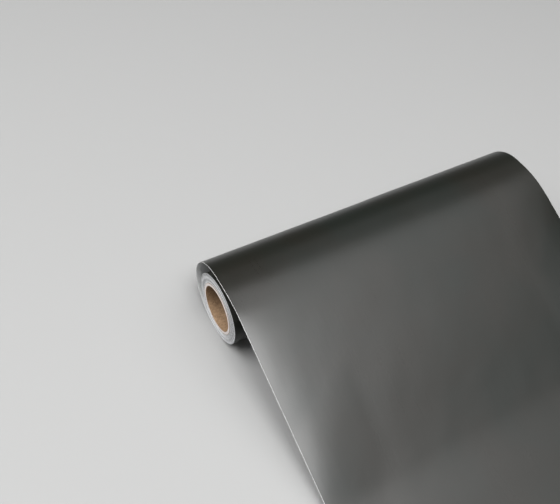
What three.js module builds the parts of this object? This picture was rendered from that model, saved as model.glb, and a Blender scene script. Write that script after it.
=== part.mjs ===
// Roll of self-adhesive sign vinyl, lying on a surface with its outermost turn loose
// and the free end drawn out as a sheet.
//
// Units are millimetres and +Z is up. X runs along the roll, the sheet is drawn out
// towards -Y, and the origin is the middle of the underside.

import * as THREE from 'three';

// --- Core: a spiral-wound paper tube ---
const CORE_BORE = 76.2;
const CORE_LENGTH = 612;
const CORE_LEAD = 150;
const CORE_SEAM = 1.2;
const CORE_TIP = 0.5;
const CORE_FACETS = 24;
const SKIN_PLY = 0.4;
const BODY_PLY = 0.68;
const BODY_PLIES = 6;

// --- Web: film, adhesive and release liner ---
const WEB_WIDTH = 610;
const FILM_SETBACK = 0.3;
const FILM = 0.08;
const ADHESIVE = 0.03;
const LINER = 0.13;
const LAYER_GAP = 0.02;
const WEB_THICKNESS = FILM + ADHESIVE + LINER + 2 * LAYER_GAP;

// --- Starter tape: double-sided strips between the core and the first turn ---
const TAPE_THICKNESS = 0.06;
const TAPE_WIDTH = 50;
const TAPE_SPAN_DEG = 36;

// --- Wound turns: nested sleeves, each shifted a little along the axis ---
const PACK_RADIUS = 59;
const PACK_FACETS = 72;
const SLEEVES = [
  { name: 'wound_turns_inner', outer: 47, shift: -0.4 },
  { name: 'wound_turns_lower_middle', outer: 50.5, shift: 0.5 },
  { name: 'wound_turns_upper_middle', outer: 55.5, shift: -0.6 },
  { name: 'wound_turns_outer', outer: PACK_RADIUS, shift: 0.2 },
];

// --- Loose turn and free sheet, as the outer face of the film runs ---
const RUNNING_GAP = 0.15;
const WRAP_DEG = 80;
const LIFT_OFF = 10;
const LOOSE_RADIUS = 65.5;
const CREST = 20;
const SHOULDER_RADIUS = 167;
const RAMP_DEG = 21.2;
const LANDING_RADIUS = 250;
const TAIL_REACH = 520;
const ARC_STEP_DEG = 5;

// --- Where the roll's axis is ---
const WRAP_RADIUS = PACK_RADIUS + RUNNING_GAP + WEB_THICKNESS;
const LOOSE_BACK = LIFT_OFF + LOOSE_RADIUS;
const AXIS_Y = (TAIL_REACH - LOOSE_BACK) / 2;
const AXIS_Z = WRAP_RADIUS;

const roll = new THREE.Group();

function finish(color, roughness) {
  return new THREE.MeshStandardMaterial({ color, roughness, metalness: 0 });
}

const FILM_FINISH = finish(0x2b2c2a, 0.38);
const ADHESIVE_FINISH = finish(0xb9bab2, 0.3);
const LINER_FINISH = finish(0xe3e4e2, 0.6);
const TURNS_FINISH = finish(0xc9cbcb, 0.65);
const KRAFT_FINISH = finish(0x8a6a4a, 0.85);
const BOARD_FINISH = finish(0xc9b7a8, 0.9);
const TAPE_FINISH = finish(0xd9d4c2, 0.4);

function addPiece(name, geometry, material) {
  const mesh = new THREE.Mesh(geometry, material);
  mesh.name = name;
  roll.add(mesh);
  return mesh;
}

// A closed bar with a changing four-cornered section: rings of four points, capped.
function ribbon(rings) {
  const positions = rings.flat(2);
  const index = [];
  const face = (a, b, c, d) => index.push(a, b, c, a, c, d);
  for (let i = 0; i + 1 < rings.length; i++) {
    for (let k = 0; k < 4; k++) {
      const next = (k + 1) % 4;
      face(4 * i + k, 4 * i + next, 4 * i + 4 + next, 4 * i + 4 + k);
    }
  }
  const last = 4 * (rings.length - 1);
  face(3, 2, 1, 0);
  face(last, last + 1, last + 2, last + 3);
  const geometry = new THREE.BufferGeometry();
  geometry.setAttribute('position', new THREE.Float32BufferAttribute(positions, 3));
  geometry.setIndex(index);
  geometry.computeVertexNormals();
  return geometry;
}

// A point at a radius and an angle about the roll's axis; angle 0 is straight up and
// grows towards the back, +Y.
function around(x, radius, angle) {
  return [x, AXIS_Y + radius * Math.sin(angle), AXIS_Z + radius * Math.cos(angle)];
}

// One strip of the core, wound as a helix and cut square with the tube's ends, where
// it runs out to a narrow tip.
function coreStrip(inner, thickness, startAngle) {
  const outer = inner + thickness;
  const half = CORE_LENGTH / 2;
  const step = (2 * Math.PI) / CORE_FACETS;
  const lead = CORE_LEAD / CORE_FACETS;
  const columns = Math.floor((CORE_LENGTH + CORE_LEAD - CORE_SEAM - CORE_TIP) / lead);
  const rings = [];
  for (let i = 0; i <= columns; i++) {
    const leading = -half + i * lead;
    const left = Math.max(-half, leading - CORE_LEAD + CORE_SEAM);
    const right = Math.min(half, Math.max(leading, -half + CORE_TIP));
    const angle = startAngle + i * step;
    rings.push([
      around(left, inner, angle),
      around(left, outer, angle),
      around(right, outer, angle),
      around(right, inner, angle),
    ]);
  }
  return ribbon(rings);
}

function addCore() {
  let radius = CORE_BORE / 2;
  const addPly = (name, thickness, turn, material) => {
    const startAngle = turn * 2 * Math.PI;
    addPiece(name, coreStrip(radius, thickness, startAngle), material);
    radius += thickness + LAYER_GAP;
  };
  const seamStagger = 1 / (BODY_PLIES + 2);
  addPly('core_inner_ply', SKIN_PLY, 0, KRAFT_FINISH);
  for (let i = 1; i <= BODY_PLIES; i++) {
    addPly(`core_body_ply_${i}`, BODY_PLY, i * seamStagger, BOARD_FINISH);
  }
  addPly('core_outer_ply', SKIN_PLY, (BODY_PLIES + 1) * seamStagger, KRAFT_FINISH);
  return radius;
}

function addStarterTape(radius) {
  const names = ['starter_tape_near', 'starter_tape_middle', 'starter_tape_far'];
  const spacing = WEB_WIDTH / 2 - TAPE_WIDTH;
  const step = (2 * Math.PI) / CORE_FACETS;
  const segments = Math.round((TAPE_SPAN_DEG * Math.PI) / 180 / step);
  names.forEach((name, i) => {
    const centre = (i - 1) * spacing;
    const rings = [];
    for (let k = 0; k <= segments; k++) {
      const angle = k * step;
      rings.push([
        around(centre - TAPE_WIDTH / 2, radius, angle),
        around(centre - TAPE_WIDTH / 2, radius + TAPE_THICKNESS, angle),
        around(centre + TAPE_WIDTH / 2, radius + TAPE_THICKNESS, angle),
        around(centre + TAPE_WIDTH / 2, radius, angle),
      ]);
    }
    addPiece(name, ribbon(rings), TAPE_FINISH);
  });
  return radius + TAPE_THICKNESS + LAYER_GAP;
}

// A sleeve of wound turns, as a lathe about its own axis laid along X.
function addSleeve({ name, outer, shift }, inner) {
  const half = WEB_WIDTH / 2;
  const section = [
    new THREE.Vector2(inner, -half),
    new THREE.Vector2(outer, -half),
    new THREE.Vector2(outer, half),
    new THREE.Vector2(inner, half),
    new THREE.Vector2(inner, -half),
  ];
  const sleeve = addPiece(name, new THREE.LatheGeometry(section, PACK_FACETS), TURNS_FINISH);
  sleeve.rotation.z = -Math.PI / 2;
  sleeve.position.set(shift, AXIS_Y, AXIS_Z);
}

function addWoundTurns(startRadius) {
  const facetSag = 1 / Math.cos(Math.PI / PACK_FACETS);
  let inner = startRadius * facetSag;
  for (const sleeve of SLEEVES) {
    addSleeve(sleeve, inner);
    inner = sleeve.outer + LAYER_GAP;
  }
}

// The path of the film's outer face in the end plane, as points with a heading. Reach
// is the distance from the roll's axis towards the sheet's end, and heading is the
// direction of travel, 0 towards the sheet's end and turning positive as it goes up.
function webPath() {
  const path = [];
  const wrap = (WRAP_DEG * Math.PI) / 180;
  const ramp = (RAMP_DEG * Math.PI) / 180;
  let reach = WRAP_RADIUS * Math.sin(wrap);
  let height = AXIS_Z - WRAP_RADIUS * Math.cos(wrap);
  let heading = wrap - Math.PI;
  const mark = () => path.push({ reach, height, heading });
  const straight = (length) => {
    reach += length * Math.cos(heading);
    height += length * Math.sin(heading);
    mark();
  };
  // Turning is negative clockwise, which is the way that the roll is wound.
  const arc = (radius, turning) => {
    const steps = Math.max(2, Math.ceil((Math.abs(turning) * 180) / Math.PI / ARC_STEP_DEG));
    const turn = turning / steps;
    const chord = 2 * radius * Math.sin(Math.abs(turn) / 2);
    for (let i = 0; i < steps; i++) {
      heading += turn / 2;
      reach += chord * Math.cos(heading);
      height += chord * Math.sin(heading);
      heading += turn / 2;
      mark();
    }
  };
  mark();
  arc(WRAP_RADIUS, -wrap);
  straight(LIFT_OFF);
  arc(LOOSE_RADIUS, -Math.PI);
  straight(CREST);
  arc(SHOULDER_RADIUS, -ramp);
  const landingDrop = LANDING_RADIUS * (1 - Math.cos(ramp));
  const drop = height - WEB_THICKNESS - landingDrop;
  straight(drop / Math.sin(ramp));
  arc(LANDING_RADIUS, ramp);
  straight(TAIL_REACH - reach);
  return path;
}

// One layer of the web, between two depths below the film's outer face, measured
// square to the path's heading.
function webLayer(path, width, top, bottom) {
  const half = width / 2;
  const rings = path.map(({ reach, height, heading }) => {
    const corner = (x, depth) => [
      x,
      AXIS_Y - reach - depth * Math.sin(heading),
      height - depth * Math.cos(heading),
    ];
    return [corner(-half, top), corner(-half, bottom), corner(half, bottom), corner(half, top)];
  });
  return ribbon(rings);
}

function addFreeWeb() {
  const path = webPath();
  const filmWidth = WEB_WIDTH - 2 * FILM_SETBACK;
  const adhesiveTop = FILM + LAYER_GAP;
  const linerTop = adhesiveTop + ADHESIVE + LAYER_GAP;
  const film = webLayer(path, filmWidth, 0, FILM);
  const adhesive = webLayer(path, filmWidth, adhesiveTop, adhesiveTop + ADHESIVE);
  const liner = webLayer(path, WEB_WIDTH, linerTop, linerTop + LINER);
  addPiece('vinyl_film', film, FILM_FINISH);
  addPiece('adhesive_layer', adhesive, ADHESIVE_FINISH);
  addPiece('release_liner', liner, LINER_FINISH);
}

const coreOuterRadius = addCore();
const tapeOuterRadius = addStarterTape(coreOuterRadius);
addWoundTurns(tapeOuterRadius);
addFreeWeb();

export default roll;
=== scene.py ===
# Roll of dark sign vinyl on a paper core, lying with its outermost turn loose and its
# free end drawn out as a sheet. Metres; +X along the roll, -Y the way the sheet runs.

import math
import random

import bpy
from mathutils import Matrix, Vector, noise


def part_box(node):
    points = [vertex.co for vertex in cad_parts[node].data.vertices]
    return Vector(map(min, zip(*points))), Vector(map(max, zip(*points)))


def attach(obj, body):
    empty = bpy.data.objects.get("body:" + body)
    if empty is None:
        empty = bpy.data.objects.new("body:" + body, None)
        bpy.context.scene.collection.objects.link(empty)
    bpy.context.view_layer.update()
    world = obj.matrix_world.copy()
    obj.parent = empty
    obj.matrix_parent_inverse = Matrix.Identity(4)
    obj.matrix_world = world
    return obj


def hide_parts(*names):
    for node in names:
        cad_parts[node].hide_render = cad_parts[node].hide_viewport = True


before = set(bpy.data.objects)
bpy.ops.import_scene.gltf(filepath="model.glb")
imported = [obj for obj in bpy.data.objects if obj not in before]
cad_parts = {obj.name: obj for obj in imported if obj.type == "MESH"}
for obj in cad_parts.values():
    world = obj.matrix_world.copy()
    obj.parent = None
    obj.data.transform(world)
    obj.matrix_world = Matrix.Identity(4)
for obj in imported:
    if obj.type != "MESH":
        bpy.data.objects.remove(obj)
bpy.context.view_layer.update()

MM = 0.001
FULL_TURN = 2 * math.pi
SEED = 24

# --- What the frame says ---
CORE_LOW, CORE_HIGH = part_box("core_inner_ply")
TURNS_LOW, TURNS_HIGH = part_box("wound_turns_outer")
LINER_LOW, LINER_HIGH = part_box("release_liner")
FILM_LOW, FILM_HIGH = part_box("vinyl_film")
AXIS_Y = (TURNS_LOW.y + TURNS_HIGH.y) / 2
AXIS_Z = (TURNS_LOW.z + TURNS_HIGH.z) / 2
PACK_RADIUS = (TURNS_HIGH.z - TURNS_LOW.z) / 2
LINER_WIDTH = LINER_HIGH.x - LINER_LOW.x
FILM_WIDTH = FILM_HIGH.x - FILM_LOW.x
TAIL_REACH = AXIS_Y - FILM_LOW.y

# --- The core's plies, as in the CAD model but with a closer seam ---
CORE_BORE = 76.2 * MM
CORE_LEAD = 150 * MM
CORE_SEAM = 0.8 * MM
CORE_TIP = 0.5 * MM
SKIN_PLY = 0.4 * MM
BODY_PLY = 0.68 * MM
BODY_PLIES = 6
PLY_FACETS = 144
PLY_END_JITTER = 0.12 * MM

# --- The starter tape's three strips ---
TAPE_THICKNESS = 0.06 * MM
TAPE_WIDTH = 50 * MM
TAPE_SPAN = math.radians(36)
TAPE_SEGMENTS = 24

# --- The web's layers ---
FILM = 0.08 * MM
ADHESIVE = 0.03 * MM
LINER = 0.13 * MM
LAYER_GAP = 0.02 * MM
WEB_THICKNESS = FILM + ADHESIVE + LINER + 2 * LAYER_GAP

# --- The wound turns: outer radius of each sleeve; its shift comes from the frame ---
SLEEVES = {
    "wound_turns_inner": 47 * MM,
    "wound_turns_lower_middle": 50.5 * MM,
    "wound_turns_upper_middle": 55.5 * MM,
    "wound_turns_outer": PACK_RADIUS,
}
TURN_PITCH = FILM + ADHESIVE + LINER
TURN_RECESS = 0.045 * MM
TURN_SEGMENTS = 144
# How far the turns' edges stand out of line along the axis.
TURN_DRIFT = 0.16 * MM
TURN_SCATTER = 0.04 * MM
TURN_LEAN = 0.14 * MM
# Rings of tone across the ends of the turns: millimetres from the rings' middle, brightness.
# The darker rings are painted shade, standing in for the shade of steps between groups of
# turns.
# The middle is off the roll's axis in Y and Z, and the rings wobble by millimetres.
TURN_RINGS = [
    (41, 1.0), (43.2, 0.86), (44.9, 0.73), (46.6, 0.84), (49.1, 1.0), (51.3, 0.85),
    (53.6, 0.63), (55, 0.63), (56.8, 0.84), (58.6, 0.98), (62, 0.84),
]
RINGS_OFF_AXIS = (1.7 * MM, 1.7 * MM)
RING_WOBBLE = 0.8

# --- The web's path ---
RUNNING_GAP = 0.15 * MM
WRAP = math.radians(80)
LIFT_OFF = 10 * MM
LOOSE_RADIUS = 65.5 * MM
CREST = 20 * MM
SHOULDER_RADIUS = 167 * MM
RAMP = math.radians(21.2)
LANDING_RADIUS = 250 * MM
WRAP_RADIUS = PACK_RADIUS + RUNNING_GAP + WEB_THICKNESS
EASE = 9 * MM
EASE_IN = 35 * MM
EASE_SAMPLES = 6
PATH_STEP = 0.5 * MM
# The ramp's and tail's lengths are first guessed, then corrected from where they end.
RAMP_GUESS = 281 * MM
TAIL_GUESS = 107 * MM
CORRECTIONS = 4

# --- Meshes: the angle from which an edge isn't smoothed, and the web's rows and columns.
# The web's first edge is feathered to a share of its thickness, flush with the roll ---
SHARP_ANGLE = math.radians(35)
ROW_STEP = 3.3 * MM
COLUMNS = 80
COLUMN_CROWDING = 0.4 * math.pi
FEATHER = 18 * MM
FEATHERED_SHARE = 0.25

# --- How the free sheet departs from its path: its edges hang lower than its middle ---
EDGE_DROOP = 4.4 * MM
DROOP_WIDTH = 38 * MM
DROOP_SETTLE = 45 * MM
DROOP_FADE = 80 * MM
LANDING_LEAD = 0.9
LANDING_LEAD_WIDTH = 120 * MM

# --- Soft waves in the free sheet, each noise at (x * across + run * slant,
# run * along): weight, across, slant, along, and the row of the noise ---
WAVE = 0.35 * MM
WAVE_START = 40 * MM
WAVE_FULL = 110 * MM
WAVES = [
    (1, 5.5, 0, 4.5, 3.7),
    (0.6, 14, 6, 9, 8.1),
    (0.5, 26, 9, 20, 5.3),
]

# --- Colours, and how strongly every bump shows ---
FILM_WARM = (0.0108, 0.0103, 0.0078)
FILM_COOL = (0.0089, 0.0107, 0.0086)
LINER_WHITE = (0.76, 0.77, 0.765)
ADHESIVE_GREY = (0.5, 0.5, 0.46)
TURNS_WHITE = (0.765, 0.77, 0.78)
TURNS_SHADOW = (0.44, 0.445, 0.455)
KRAFT_DARK = (0.200, 0.124, 0.066)
KRAFT_LIGHT = (0.370, 0.242, 0.142)
BOARD_DARK = (0.64, 0.58, 0.56)
BOARD_LIGHT = (0.78, 0.73, 0.71)
TAPE_CREAM = (0.65, 0.62, 0.5)
FLOOR_GREY = (0.32, 0.32, 0.318)
STUDIO_WHITE = (0.98, 0.99, 1.0)
BUMP_STRENGTH = 0.6

# --- The floor ---
FLOOR_REACH = 6
FLOOR_TOP = -0.05 * MM

# --- The camera, from the middle of the core's near end ---
CAMERA_FROM_CORE = Vector((-0.2996, -0.5353, 0.9072))
VIEW_AZIMUTH = math.radians(-37.01)
VIEW_ELEVATION = math.radians(50.77)
VIEW_ROLL = math.radians(9.13)
LENS = 45
SENSOR_WIDTH = 36
FAR_CLIP = 30

# --- Level panels over the sheet. Each spans a range of slopes across and along it, as
# seen from a point of its near edge: name, across, along, radiance ---
OVERHEAD_HEIGHT = 4.0
OVERHEAD_REACH = 200 * MM
OVERHEAD_BASE = 70 * MM
OVERHEADS = [
    ("key", (-0.17, 0.18), (-0.66, -0.10), 15.6),
    ("ceiling_near", (0.18, 0.62), (-0.75, 0.48), 2.68),
    ("ceiling_far", (0.62, 1.15), (-0.75, 0.48), 1.5),
]

# --- Square panels that face the origin: name, place, radiance ---
SIDE_FILL_SIZE = 2.6
SIDE_FILLS = [
    ("side_fill_back", Vector((-2.0, 1.0, 3.3)), 7.2),
    ("side_fill_front", Vector((-1.6, -1.6, 3.3)), 0.5),
]

# --- The studio all round: its strength low down and overhead, and where it changes ---
HORIZON_STRENGTH = 0.16
ZENITH_STRENGTH = 0.045
HORIZON_TOP = 0.08
ZENITH_START = 0.42


def smoothstep(value, low, high):
    t = min(1, max(0, (value - low) / (high - low)))
    return t * t * (3 - 2 * t)


def add_node(tree, kind, inputs=None, **settings):
    """A shader node. An input's value is either a constant or the socket it comes from."""
    made = tree.nodes.new(kind)
    for name, value in settings.items():
        setattr(made, name, value)
    for name, value in (inputs or {}).items():
        if isinstance(value, bpy.types.NodeSocket):
            tree.links.new(value, made.inputs[name])
        else:
            made.inputs[name].default_value = value
    return made


# ---------------------------------------------------------------- camera and lights

def add_camera():
    data = bpy.data.cameras.new("camera")
    data.lens = LENS
    data.sensor_width = SENSOR_WIDTH
    data.clip_end = FAR_CLIP
    camera = bpy.data.objects.new("camera", data)
    bpy.context.collection.objects.link(camera)
    back = Vector((
        math.sin(VIEW_AZIMUTH) * math.cos(VIEW_ELEVATION),
        -math.cos(VIEW_AZIMUTH) * math.cos(VIEW_ELEVATION),
        math.sin(VIEW_ELEVATION),
    ))
    level_right = Vector((math.cos(VIEW_AZIMUTH), math.sin(VIEW_AZIMUTH), 0))
    level_up = back.cross(level_right)
    right = level_right * math.cos(VIEW_ROLL) + level_up * math.sin(VIEW_ROLL)
    up = back.cross(right)
    turn = Matrix((right, up, back)).transposed()
    core_end = Vector((CORE_LOW.x, AXIS_Y, AXIS_Z))
    camera.matrix_world = Matrix.Translation(core_end + CAMERA_FROM_CORE) @ turn.to_4x4()
    bpy.context.scene.camera = camera


def add_panel(name, centre, facing, size, radiance):
    """A soft rectangular light. Its power follows from how bright its face is."""
    data = bpy.data.lights.new(name, "AREA")
    data.shape = "RECTANGLE"
    data.size, data.size_y = size
    data.energy = radiance * math.pi * size[0] * size[1]
    panel = bpy.data.objects.new(name, data)
    bpy.context.collection.objects.link(panel)
    panel.location = centre
    panel.rotation_euler = Vector(facing).to_track_quat("-Z", "Y").to_euler()


def add_lights():
    seen_from = Vector((LINER_LOW.x, AXIS_Y - OVERHEAD_REACH, OVERHEAD_BASE))
    for name, across, along, radiance in OVERHEADS:
        slopes = Vector((sum(across) / 2, sum(along) / 2, 1))
        size = (
            OVERHEAD_HEIGHT * (across[1] - across[0]),
            OVERHEAD_HEIGHT * (along[1] - along[0]),
        )
        add_panel(name, seen_from + OVERHEAD_HEIGHT * slopes, (0, 0, -1), size, radiance)
    for name, place, radiance in SIDE_FILLS:
        add_panel(name, place, -place, (SIDE_FILL_SIZE, SIDE_FILL_SIZE), radiance)


def add_world():
    """A dim studio all round, paler near the horizon, where the floor runs out."""
    world = bpy.data.worlds.new("world")
    world.use_nodes = True
    tree = world.node_tree
    background = tree.nodes["Background"]
    background.inputs["Color"].default_value = (*STUDIO_WHITE, 1)
    direction = add_node(tree, "ShaderNodeTexCoord").outputs["Generated"]
    up = add_node(tree, "ShaderNodeSeparateXYZ", {"Vector": direction}).outputs["Z"]
    glow_inputs = {
        "Value": up, "From Min": HORIZON_TOP, "From Max": ZENITH_START,
        "To Min": HORIZON_STRENGTH, "To Max": ZENITH_STRENGTH,
    }
    glow = add_node(
        tree, "ShaderNodeMapRange", glow_inputs, interpolation_type="SMOOTHSTEP"
    )
    tree.links.new(glow.outputs["Result"], background.inputs["Strength"])
    bpy.context.scene.world = world
    bpy.context.scene.view_settings.view_transform = "Standard"


# ---------------------------------------------------------------------- materials

class Finish:
    """A Principled material under construction, with the few patterns used here."""

    def __init__(self, name, roughness):
        self.material = bpy.data.materials.new(name)
        self.material.use_nodes = True
        self.tree = self.material.node_tree
        self.shader = self.tree.nodes["Principled BSDF"]
        self.shader.inputs["Roughness"].default_value = roughness
        coordinates = self.add("ShaderNodeTexCoord")
        self.place = coordinates.outputs["Object"]

    def add(self, kind, inputs=None, **settings):
        return add_node(self.tree, kind, inputs, **settings)

    def drive(self, socket, value):
        self.tree.links.new(value, self.shader.inputs[socket])

    def noise(self, scale, detail=2, vector=None):
        """Cloudy noise, by default in place, with its scale in patterns per metre."""
        inputs = {"Vector": vector or self.place, "Scale": scale, "Detail": detail}
        return self.add("ShaderNodeTexNoise", inputs).outputs["Fac"]

    def ranged(self, value, low, high, span=(0.3, 0.7)):
        """The value's span, by default noise's usual one, spread from low to high."""
        inputs = {
            "Value": value, "From Min": span[0], "From Max": span[1],
            "To Min": low, "To Max": high,
        }
        return self.add("ShaderNodeMapRange", inputs).outputs["Result"]

    def maths(self, operation, first, second):
        inputs = {0: first, 1: second}
        return self.add("ShaderNodeMath", inputs, operation=operation).outputs[0]

    def ramp(self, value, stops):
        made = self.add("ShaderNodeValToRGB", {"Fac": value})
        elements = made.color_ramp.elements
        while len(elements) < len(stops):
            elements.new(0.5)
        for element, (position, colour) in zip(elements, stops):
            element.position = position
            element.color = (*colour, 1)
        return made.outputs["Color"]

    def scaled(self, colour, factor):
        inputs = {"Vector": colour, "Scale": factor}
        made = self.add("ShaderNodeVectorMath", inputs, operation="SCALE")
        return made.outputs["Vector"]

    def bump(self, height, distance):
        inputs = {"Height": height, "Distance": distance, "Strength": BUMP_STRENGTH}
        self.drive("Normal", self.add("ShaderNodeBump", inputs).outputs["Normal"])

    def stretched(self, scales):
        """Place in patterns per metre, with a scale of its own along each axis."""
        inputs = {"Vector": self.place, "Scale": scales}
        return self.add("ShaderNodeMapping", inputs).outputs["Vector"]

    def web_place(self, across_scale, along_scale):
        """Place across and along the web, in patterns per metre."""
        across = self.add("ShaderNodeAttribute", attribute_name="across").outputs["Fac"]
        along = self.add("ShaderNodeAttribute", attribute_name="along").outputs["Fac"]
        combined = self.add("ShaderNodeCombineXYZ", {
            "X": self.maths("MULTIPLY", across, across_scale),
            "Y": self.maths("MULTIPLY", along, along_scale),
        })
        return combined.outputs["Vector"]

    def axis_distance(self, off_axis=(0, 0)):
        """Millimetres from the roll's axis, or from a line so far from it in Y and Z."""
        inputs = {0: self.place, 1: (0, AXIS_Y + off_axis[0], AXIS_Z + off_axis[1])}
        moved = self.add("ShaderNodeVectorMath", inputs, operation="SUBTRACT")
        inputs = {0: moved.outputs["Vector"], 1: (0, 1 / MM, 1 / MM)}
        flat = self.add("ShaderNodeVectorMath", inputs, operation="MULTIPLY")
        inputs = {0: flat.outputs["Vector"]}
        length = self.add("ShaderNodeVectorMath", inputs, operation="LENGTH")
        return length.outputs["Value"]


def film_finish(name):
    """Satin vinyl: fine grain and orange peel, faint streaks, and broad soft mottle."""
    finish = Finish(name, 0.3)
    patches = finish.noise(7, 3)
    streaks = finish.noise(1, 2, finish.web_place(160, 5))
    mottle = finish.noise(42, 3)
    peel = finish.noise(260, 2)
    grain = finish.noise(1300, 2)
    finish.drive("Base Color", finish.ramp(patches, [(0.36, FILM_WARM), (0.64, FILM_COOL)]))
    rough = finish.maths(
        "ADD", finish.ranged(patches, 0.29, 0.325), finish.ranged(streaks, -0.012, 0.012)
    )
    rough = finish.maths("ADD", rough, finish.ranged(grain, -0.02, 0.02))
    finish.drive("Roughness", rough)
    height = finish.maths("ADD", grain, finish.maths("MULTIPLY", peel, 1.6))
    height = finish.maths("ADD", height, finish.ranged(streaks, 0, 0.8))
    height = finish.maths("ADD", height, finish.maths("MULTIPLY", mottle, 5))
    finish.bump(height, 0.03 * MM)
    return finish.material


def liner_finish():
    """White release paper, with faint fibres along the web."""
    finish = Finish("liner_finish", 0.5)
    cloud = finish.noise(220, 4)
    fibres = finish.noise(1, 3, finish.web_place(2600, 420))
    tone = finish.maths(
        "MULTIPLY", finish.ranged(cloud, 0.96, 1.03), finish.ranged(fibres, 0.98, 1.02)
    )
    finish.drive("Base Color", finish.scaled(LINER_WHITE, tone))
    finish.drive("Roughness", finish.ranged(cloud, 0.46, 0.54))
    finish.bump(fibres, 0.008 * MM)
    return finish.material


def adhesive_finish():
    finish = Finish("adhesive_finish", 0.3)
    tone = finish.ranged(finish.noise(300, 2), 0.95, 1.05)
    finish.drive("Base Color", finish.scaled(ADHESIVE_GREY, tone))
    return finish.material


def tape_finish():
    finish = Finish("tape_finish", 0.35)
    tone = finish.ranged(finish.noise(400, 2), 0.94, 1.06)
    finish.drive("Base Color", finish.scaled(TAPE_CREAM, tone))
    return finish.material


def turns_finish(name, base):
    """The cut ends of the turns, with broad rings of painted shade where steps between
    groups of turns would shade them.
    """
    finish = Finish(name, 0.6)
    wobble = finish.ranged(finish.noise(11, 1), -RING_WOBBLE, RING_WOBBLE)
    distance = finish.maths("ADD", finish.axis_distance(RINGS_OFF_AXIS), wobble)
    first, last = TURN_RINGS[0][0], TURN_RINGS[-1][0]
    # The darker rings are painted shade of the steps between groups of turns.
    rings = finish.ramp(finish.ranged(distance, 0, 1, (first, last)), [
        ((at - first) / (last - first), (tone, tone, tone)) for at, tone in TURN_RINGS
    ])
    fine_inputs = {"Scale": 2.7, "Detail": 1, "W": finish.axis_distance()}
    fine = finish.add(
        "ShaderNodeTexNoise", fine_inputs, noise_dimensions="1D"
    ).outputs["Fac"]
    smear = finish.noise(170, 4)
    tone = finish.maths("MULTIPLY", rings, finish.ranged(fine, 0.92, 1.05))
    tone = finish.maths("MULTIPLY", tone, finish.ranged(smear, 0.95, 1.04))
    finish.drive("Base Color", finish.scaled(base, tone))
    finish.bump(finish.noise(1800, 2), 0.02 * MM)
    return finish.material


def paper_finish(name, dark, light):
    """Kraft or board: pulp clouds and fibres that run along the core."""
    finish = Finish(name, 0.8)
    pulp = finish.noise(260, 5)
    fibres = finish.noise(1, 4, finish.stretched((380, 1500, 1500)))
    tone = finish.maths("MULTIPLY", finish.maths("ADD", pulp, fibres), 0.5)
    finish.drive("Base Color", finish.ramp(tone, [(0.36, dark), (0.62, light)]))
    finish.drive("Roughness", finish.ranged(fibres, 0.74, 0.86))
    finish.bump(fibres, 0.03 * MM)
    return finish.material


# ------------------------------------------------------------------ mesh building

def make_piece(name, vertices, faces, materials, face_materials=None):
    mesh = bpy.data.meshes.new(name)
    mesh.from_pydata(vertices, [], faces)
    for material in materials:
        mesh.materials.append(material)
    if face_materials:
        mesh.polygons.foreach_set("material_index", face_materials)
    mesh.shade_smooth()
    mesh.set_sharp_from_angle(angle=SHARP_ANGLE)
    piece = bpy.data.objects.new(name, mesh)
    bpy.context.collection.objects.link(piece)
    return piece


def ribbon(name, rings, material):
    """A closed bar with a changing four-cornered section: rings of four points."""
    vertices = [point for ring in rings for point in ring]
    faces = []
    for i in range(len(rings) - 1):
        for k in range(4):
            following = (k + 1) % 4
            faces.append((
                4 * i + k, 4 * i + following, 4 * i + 4 + following, 4 * i + 4 + k,
            ))
    last = 4 * (len(rings) - 1)
    faces.append((3, 2, 1, 0))
    faces.append((last, last + 1, last + 2, last + 3))
    return make_piece(name, vertices, faces, [material])


def around(x, radius, angle):
    """A point about the roll's axis; angle 0 is straight up and grows towards +Y."""
    return (x, AXIS_Y + radius * math.sin(angle), AXIS_Z + radius * math.cos(angle))


def join_roll(piece, node):
    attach(piece, "roll")
    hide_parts(node)


# -------------------------------------------------------------------------- core

def core_ply(name, inner, thickness, start_angle, trims, material):
    """A strip wound as a helix and cut square with the tube's ends."""
    outer = inner + thickness
    low = CORE_LOW.x + trims[0]
    high = CORE_HIGH.x - trims[1]
    lead = CORE_LEAD / PLY_FACETS
    columns = int((high - low + CORE_LEAD - CORE_SEAM - CORE_TIP) / lead)
    rings = []
    for i in range(columns + 1):
        leading = low + i * lead
        left = max(low, leading - CORE_LEAD + CORE_SEAM)
        right = min(high, max(leading, low + CORE_TIP))
        angle = start_angle + i * FULL_TURN / PLY_FACETS
        rings.append((
            around(left, inner, angle),
            around(left, outer, angle),
            around(right, outer, angle),
            around(right, inner, angle),
        ))
    return ribbon(name, rings, material)


def add_core(draw):
    """The core, from its bore outwards. Returns the radius that the next piece starts at."""
    finishes = {
        "kraft": paper_finish("kraft_finish", KRAFT_DARK, KRAFT_LIGHT),
        "board": paper_finish("board_finish", BOARD_DARK, BOARD_LIGHT),
    }
    plies = [("core_inner_ply", SKIN_PLY, "kraft")]
    plies += [(f"core_body_ply_{i}", BODY_PLY, "board") for i in range(1, BODY_PLIES + 1)]
    plies += [("core_outer_ply", SKIN_PLY, "kraft")]
    radius = CORE_BORE / 2
    for i, (node, thickness, slot) in enumerate(plies):
        trims = (draw.uniform(0, PLY_END_JITTER), draw.uniform(0, PLY_END_JITTER))
        start_angle = i * FULL_TURN / len(plies)
        piece = core_ply(
            f"{node}_strip", radius, thickness, start_angle, trims, finishes[slot]
        )
        join_roll(piece, node)
        radius += thickness + LAYER_GAP
    return radius


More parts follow.
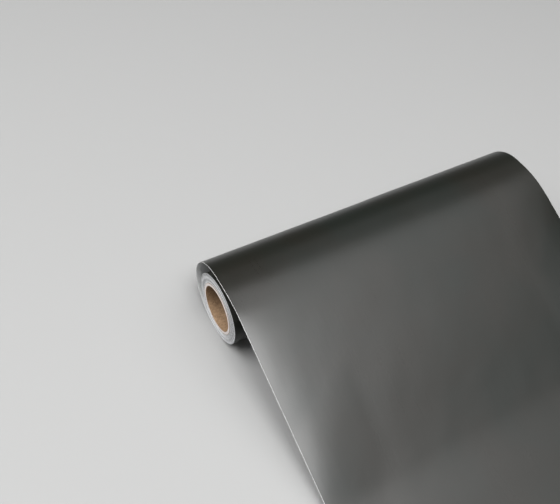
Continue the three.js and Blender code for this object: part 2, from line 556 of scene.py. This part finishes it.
def add_starter_tape(radius):
    """Three strips on the core. Returns the radius that the next piece starts at."""
    material = tape_finish()
    spacing = LINER_WIDTH / 2 - TAPE_WIDTH
    for i, place in enumerate(("near", "middle", "far")):
        left = (i - 1) * spacing - TAPE_WIDTH / 2
        right = left + TAPE_WIDTH
        rings = []
        for k in range(TAPE_SEGMENTS + 1):
            angle = TAPE_SPAN * k / TAPE_SEGMENTS
            rings.append((
                around(left, radius, angle),
                around(left, radius + TAPE_THICKNESS, angle),
                around(right, radius + TAPE_THICKNESS, angle),
                around(right, radius, angle),
            ))
        node = f"starter_tape_{place}"
        join_roll(ribbon(f"{node}_strip", rings, material), node)
    return radius + TAPE_THICKNESS + 2 * LAYER_GAP


# ------------------------------------------------------------------- wound turns

LINER_FACE, FILM_FACE, OUTSIDE_FACE = range(3)


class Wander:
    """How far each turn's edge stands along the axis, drifting from turn to turn."""

    def __init__(self, draw):
        self.seed = draw.uniform(0, 100)

    def pattern(self, turns, row):
        """Smooth noise from -1 to 1. Each row of it is a pattern of its own."""
        return noise.noise(Vector((turns, self.seed, row)))

    def at(self, radius, angle):
        turn = radius / TURN_PITCH
        drift = TURN_DRIFT * self.pattern(turn * 0.11, 0)
        scatter = TURN_SCATTER * self.pattern(turn * 0.93, 9)
        lean = TURN_LEAN * self.pattern(turn * 0.07, 21)
        phase = 5 * self.pattern(turn * 0.03, 33)
        return drift + scatter + lean * math.cos(angle + phase)


def end_profile(inner, outer):
    """The stepped line across the ends of the turns, from the inside out: radius,
    how far back it stands, and the kind of the face that leads on from it."""
    turns = round((outer - inner) / TURN_PITCH)
    pitch = (outer - inner) / turns
    points = []
    for i in range(turns):
        start = inner + i * pitch
        step = start + pitch * LINER / TURN_PITCH
        points.append((start, 0, LINER_FACE))
        points.append((step, 0, FILM_FACE))
        points.append((step, TURN_RECESS, FILM_FACE))
        points.append((start + pitch, TURN_RECESS, LINER_FACE))
    return points


def add_sleeve(node, inner, outer, draw, materials):
    """A sleeve of turns. Its section goes out along the near end, over the outside, back
    in along the far end and through the inside."""
    low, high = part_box(node)
    ends = [(low.x, 1, Wander(draw)), (high.x, -1, Wander(draw))]
    profile = end_profile(inner, outer)
    section = [(radius, 0, back) for radius, back, _ in profile]
    section += [(radius, 1, back) for radius, back, _ in reversed(profile)]
    end_kinds = [kind for *_, kind in profile[:-1]]
    outside = OUTSIDE_FACE if node == "wound_turns_outer" else FILM_FACE
    kinds = [*end_kinds, outside, *reversed(end_kinds), LINER_FACE]
    vertices = []
    for k in range(TURN_SEGMENTS):
        angle = k * FULL_TURN / TURN_SEGMENTS
        for radius, end, back in section:
            face_x, inward, wander = ends[end]
            stand = abs(wander.at(radius, angle)) + back
            vertices.append(around(face_x + inward * stand, radius, angle))
    count = len(section)
    faces = []
    for k in range(TURN_SEGMENTS):
        this = k * count
        following = (k + 1) % TURN_SEGMENTS * count
        for i in range(count):
            j = (i + 1) % count
            faces.append((this + i, following + i, following + j, this + j))
    face_kinds = kinds * TURN_SEGMENTS
    piece = make_piece(f"{node}_edges", vertices, faces, materials, face_kinds)
    join_roll(piece, node)


def add_wound_turns(inner, draw):
    materials = [
        turns_finish("turns_finish", TURNS_WHITE),
        turns_finish("turns_shadow_finish", TURNS_SHADOW),
        film_finish("wound_film_finish"),
    ]
    for node, outer in SLEEVES.items():
        add_sleeve(node, inner, outer, draw, materials)
        inner = outer + LAYER_GAP


# ---------------------------------------------------------------------- free web

def stretches(ramp_length, tail_length):
    """Length and turning of each stretch of the path; turning is negative clockwise."""
    return [
        (WRAP_RADIUS * WRAP, -WRAP),
        (LIFT_OFF, 0),
        (LOOSE_RADIUS * math.pi, -math.pi),
        (CREST, 0),
        (SHOULDER_RADIUS * RAMP, -RAMP),
        (ramp_length, 0),
        (LANDING_RADIUS * RAMP, RAMP),
        (tail_length, 0),
    ]


def exact_heading(knots, at):
    """The heading at a run along the path, from knots of run and heading."""
    for (run_a, heading_a), (run_b, heading_b) in zip(knots, knots[1:]):
        if at <= run_b:
            share = max(0, at - run_a) / (run_b - run_a)
            return heading_a + share * (heading_b - heading_a)
    return knots[-1][1]


def eased_heading(knots, run, ease):
    """The heading averaged over its neighbourhood, at samples a third of the ease apart."""
    if ease <= 0:
        return exact_heading(knots, run)
    total, weights = 0, 0
    for k in range(-EASE_SAMPLES, EASE_SAMPLES + 1):
        weight = math.exp(-((k / 3) ** 2))
        total += weight * exact_heading(knots, run + k * ease / 3)
        weights += weight
    return total / weights


def trace_path(ramp_length, tail_length):
    """Points (run, reach, height, heading) along the film's outer face, and the runs
    at which its stretches begin and end."""
    knots = [(0, WRAP - math.pi)]
    for length, turning in stretches(ramp_length, tail_length):
        knots.append((knots[-1][0] + length, knots[-1][1] + turning))
    wrap_end, run_end = knots[1][0], knots[-1][0]
    steps = round(run_end / PATH_STEP)
    step = run_end / steps
    reach = WRAP_RADIUS * math.sin(WRAP)
    height = AXIS_Z - WRAP_RADIUS * math.cos(WRAP)
    points = []
    for i in range(steps + 1):
        run = i * step
        ease = EASE * smoothstep(run, wrap_end, wrap_end + EASE_IN)
        points.append((run, reach, height, eased_heading(knots, run, ease)))
        middle = eased_heading(knots, run + step / 2, ease)
        reach += step * math.cos(middle)
        height += step * math.sin(middle)
    return points, [run for run, _ in knots]


def settle_path():
    """The path whose ramp and tail are as long as it takes to end on the surface."""
    ramp_length, tail_length = RAMP_GUESS, TAIL_GUESS
    for _ in range(CORRECTIONS):
        points, knots = trace_path(ramp_length, tail_length)
        _, reach, height, _ = points[-1]
        ramp_length += (height - WEB_THICKNESS) / math.sin(RAMP)
        tail_length += TAIL_REACH - reach
    return points, knots


def slab_faces(rows, columns):
    """The faces of a closed slab: two grids of points, the upper one first."""
    faces = []
    below = rows * columns
    for i in range(rows - 1):
        for j in range(columns - 1):
            a = i * columns + j
            b, c, d = a + 1, a + columns + 1, a + columns
            faces.append((a, d, c, b))
            faces.append((below + a, below + b, below + c, below + d))
    for i in range(rows - 1):
        for j in (0, columns - 1):
            a, b = i * columns + j, (i + 1) * columns + j
            side = (a, below + a, below + b, b)
            faces.append(side if j == 0 else side[::-1])
    for j in range(columns - 1):
        for i in (0, rows - 1):
            a, b = i * columns + j, i * columns + j + 1
            end = (a, b, below + b, below + a)
            faces.append(end if i == 0 else end[::-1])
    return faces


class WebShape:
    """Where each point of the web is, from its place across it and its run along it."""

    def __init__(self):
        points, knots = settle_path()
        self.length = points[-1][0]
        _, self.wrap_end, _, _, self.crest_end = knots[:5]
        self.ramp_start, self.ramp_end, self.landing_end = knots[5:8]
        rows = round(self.length / ROW_STEP)
        self.rows = [points[round(i * (len(points) - 1) / rows)] for i in range(rows + 1)]

    def lift(self, x, run):
        """How far the web stands off its path, square to it."""
        from_edge = LINER_WIDTH / 2 - abs(x)
        on_ramp = smoothstep(run, self.crest_end, self.ramp_start + DROOP_SETTLE)
        nearer_landing = run + LANDING_LEAD * min(from_edge, LANDING_LEAD_WIDTH)
        on_ramp *= 1 - smoothstep(
            nearer_landing, self.ramp_end - DROOP_FADE, self.landing_end
        )
        droop = EDGE_DROOP * on_ramp * (1 - math.exp(-from_edge / DROOP_WIDTH))
        free = smoothstep(run, self.wrap_end + WAVE_START, self.wrap_end + WAVE_FULL)
        free *= 1 - smoothstep(run, self.ramp_end, self.landing_end)
        wave = sum(
            weight * noise.noise(Vector((x * across + run * slant, run * along, row)))
            for weight, across, slant, along, row in WAVES
        )
        return droop + WAVE * free * wave

    def layer(self, name, width, top, bottom, material):
        """One layer of the web as a closed slab between two depths."""
        columns = [
            LINER_WIDTH / 2 * math.sin(COLUMN_CROWDING * (2 * j / COLUMNS - 1))
            / math.sin(COLUMN_CROWDING)
            for j in range(COLUMNS + 1)
        ]
        columns[0], columns[-1] = -width / 2, width / 2
        vertices, across, along = [], [], []
        for depth in (top, bottom):
            for run, reach, height, heading in self.rows:
                grown = smoothstep(run, 0, FEATHER)
                thick = FEATHERED_SHARE + (1 - FEATHERED_SHARE) * grown
                squeezed = WEB_THICKNESS - thick * (WEB_THICKNESS - depth)
                for x in columns:
                    inward = squeezed - self.lift(x, run)
                    vertices.append((
                        x,
                        AXIS_Y - reach - inward * math.sin(heading),
                        height - inward * math.cos(heading),
                    ))
                    across.append(x)
                    along.append(run)
        faces = slab_faces(len(self.rows), len(columns))
        piece = make_piece(name, vertices, faces, [material])
        for label, values in (("across", across), ("along", along)):
            attribute = piece.data.attributes.new(label, "FLOAT", "POINT")
            attribute.data.foreach_set("value", values)
        return piece


def add_free_web():
    web = WebShape()
    film, adhesive, liner = film_finish("film_finish"), adhesive_finish(), liner_finish()
    adhesive_top = FILM + LAYER_GAP
    liner_top = adhesive_top + ADHESIVE + LAYER_GAP
    sheet = web.layer("film_sheet", FILM_WIDTH, 0, FILM, film)
    coat = web.layer(
        "adhesive_coat", FILM_WIDTH, adhesive_top, adhesive_top + ADHESIVE, adhesive
    )
    backing = web.layer("liner_sheet", LINER_WIDTH, liner_top, liner_top + LINER, liner)
    for piece, node, slot in (
        (sheet, "vinyl_film", "film"),
        (coat, "adhesive_layer", "adhesive"),
        (backing, "release_liner", "liner"),
    ):
        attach(piece, "web")
        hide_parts(node)


# --------------------------------------------------------------------- the scene

def add_floor():
    mesh = bpy.data.meshes.new("floor")
    corners = [
        (-FLOOR_REACH, -FLOOR_REACH, FLOOR_TOP),
        (FLOOR_REACH, -FLOOR_REACH, FLOOR_TOP),
        (FLOOR_REACH, FLOOR_REACH, FLOOR_TOP),
        (-FLOOR_REACH, FLOOR_REACH, FLOOR_TOP),
    ]
    mesh.from_pydata(corners, [], [(0, 1, 2, 3)])
    floor = bpy.data.objects.new("floor", mesh)
    bpy.context.collection.objects.link(floor)
    finish = Finish("floor_finish", 0.7)
    finish.shader.inputs["Base Color"].default_value = (*FLOOR_GREY, 1)
    mesh.materials.append(finish.material)


def add_roll():
    draw = random.Random(SEED)
    radius = add_core(draw)
    radius = add_starter_tape(radius)
    add_wound_turns(radius, draw)


add_camera()
add_lights()
add_world()
add_floor()
add_roll()
add_free_web()
